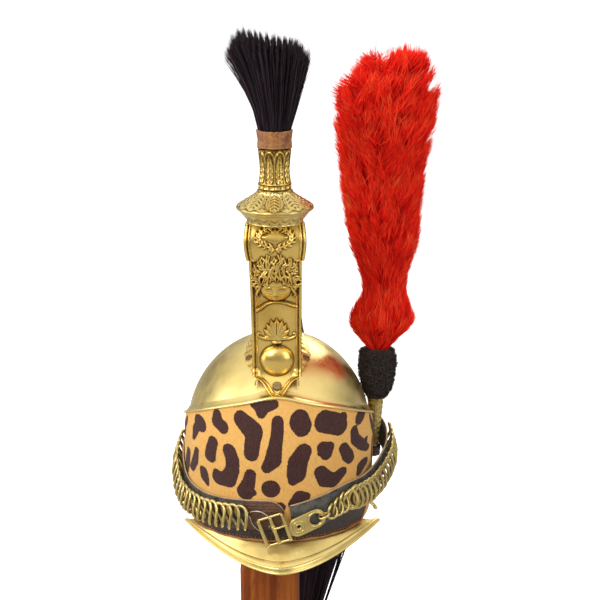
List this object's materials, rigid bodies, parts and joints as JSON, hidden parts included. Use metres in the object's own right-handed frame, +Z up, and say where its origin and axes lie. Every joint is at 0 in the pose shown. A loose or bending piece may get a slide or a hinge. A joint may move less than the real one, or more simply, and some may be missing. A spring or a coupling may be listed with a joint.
{
  "type": "dragoon helmet on a wooden stand",
  "caption": "Brass helmet with a spotted hide turban, tall crest with a mask in relief, horsehair mane and tuft, side plume and ringed chin strap, on a plain wooden stand.",
  "frame": {"origin": "on the base's flat bottom face, under the middle of the helmet", "axes": "+Z up, -Y to the helmet's front, +X to the side that the plume stands on"},
  "size_m": [0.3037, 0.3233, 0.9062],
  "materials": {
    "brass": "aged and polished",
    "dark_brass": "darkened",
    "hide": "short spotted hair",
    "leather": "worn",
    "horsehair": "black hair",
    "red_feather": "soft feathers",
    "chenille": "dark pile",
    "oak": "stained, satin"
  },
  "bodies": {
    "root": {"shell": "brass", "turban": "hide", "turban_bead": "brass", "peak": "brass", "neck_guard": "brass", "crest": "brass", "crest_plate": "brass", "crest_flange_left": "brass", "crest_flange_right": "brass", "plate_screw": "dark_brass", "flange_screw_left": "dark_brass", "flange_screw_right": "dark_brass", "knob": "brass", "tuft_socket": "brass", "tuft_band": "leather", "tuft": "horsehair", "mane": "horsehair", "boss_left": "brass", "boss_right": "brass", "strap_left": "leather", "strap_right": "leather", "chain_left": "brass", "chain_right": "brass", "end_links": "brass", "end_plate": "brass", "buckle": "brass", "plume_holder": "leather", "plume_cone": "dark_brass", "plume_olive": "chenille", "plume": "red_feather", "stand_base": "oak", "stand_post": "oak", "stand_head": "oak"}
  },
  "joints": []
}
